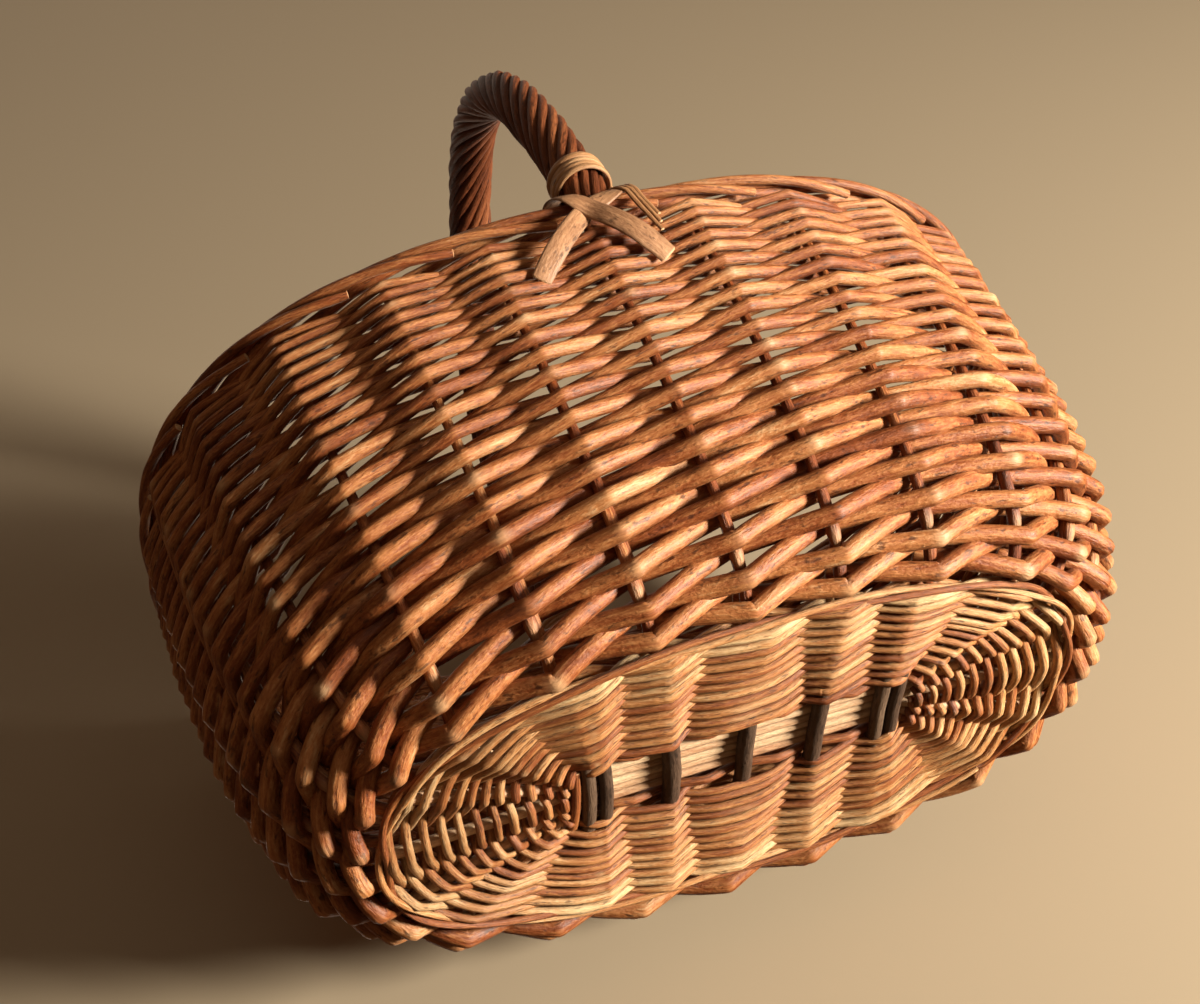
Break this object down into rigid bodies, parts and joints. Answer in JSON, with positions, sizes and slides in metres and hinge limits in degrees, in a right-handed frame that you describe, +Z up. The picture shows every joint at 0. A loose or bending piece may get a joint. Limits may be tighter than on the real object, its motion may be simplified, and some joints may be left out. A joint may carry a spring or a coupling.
{
  "type": "willow picnic basket",
  "caption": "Oval open willow basket with a woven base, flared pairing-weave wall, rolled border and a fixed roped handle across the middle.",
  "frame": {"origin": "centre of the underside, on the surface that the basket stands on", "axes": "+Z up to the handle, +X along the basket's length, the handle's bow spans Y"},
  "size_m": [0.424, 0.317, 0.3882],
  "materials": {
    "bark_sticks": "matt bark-brown willow",
    "pale_sticks": "buff willow, thin varnish",
    "base_weavers": "varnished willow, buff to red-brown",
    "siding_weavers": "varnished red-brown willow",
    "stakes": "varnished dark red-brown willow",
    "border_rods": "varnished red-brown willow",
    "handle_rods": "varnished dark brown willow",
    "skein": "golden split willow skein",
    "split_bands": "flat split willow, tan"
  },
  "bodies": {
    "root": {"short_stick_1": "bark_sticks", "short_stick_2": "bark_sticks", "short_stick_3": "bark_sticks", "short_stick_4": "bark_sticks", "short_stick_5": "bark_sticks", "short_stick_6": "bark_sticks", "short_stick_7": "bark_sticks", "long_stick_1": "pale_sticks", "long_stick_2": "pale_sticks", "long_stick_3": "pale_sticks", "long_stick_4": "pale_sticks", "long_stick_5": "pale_sticks", "base_weave": "base_weavers", "base_edge_rod": "base_weavers", "upsett": "siding_weavers", "siding_band_1": "siding_weavers", "siding_band_2": "siding_weavers", "siding_band_3": "siding_weavers", "siding_band_4": "siding_weavers", "stake_1": "stakes", "stake_2": "stakes", "stake_3": "stakes", "stake_4": "stakes", "stake_5": "stakes", "stake_6": "stakes", "stake_7": "stakes", "stake_8": "stakes", "stake_9": "stakes", "stake_10": "stakes", "stake_11": "stakes", "stake_12": "stakes", "stake_13": "stakes", "stake_14": "stakes", "stake_15": "stakes", "stake_16": "stakes", "stake_17": "stakes", "stake_18": "stakes", "stake_19": "stakes", "stake_20": "stakes", "stake_21": "stakes", "stake_22": "stakes", "stake_23": "stakes", "stake_24": "stakes", "stake_25": "stakes", "stake_26": "stakes", "border": "border_rods", "handle_core": "handle_rods", "handle_roping": "handle_rods", "collar_front": "skein", "collar_rear": "skein", "cross_band_front_left": "split_bands", "cross_band_front_right": "split_bands", "cross_band_rear_left": "split_bands", "cross_band_rear_right": "split_bands"}
  },
  "joints": []
}
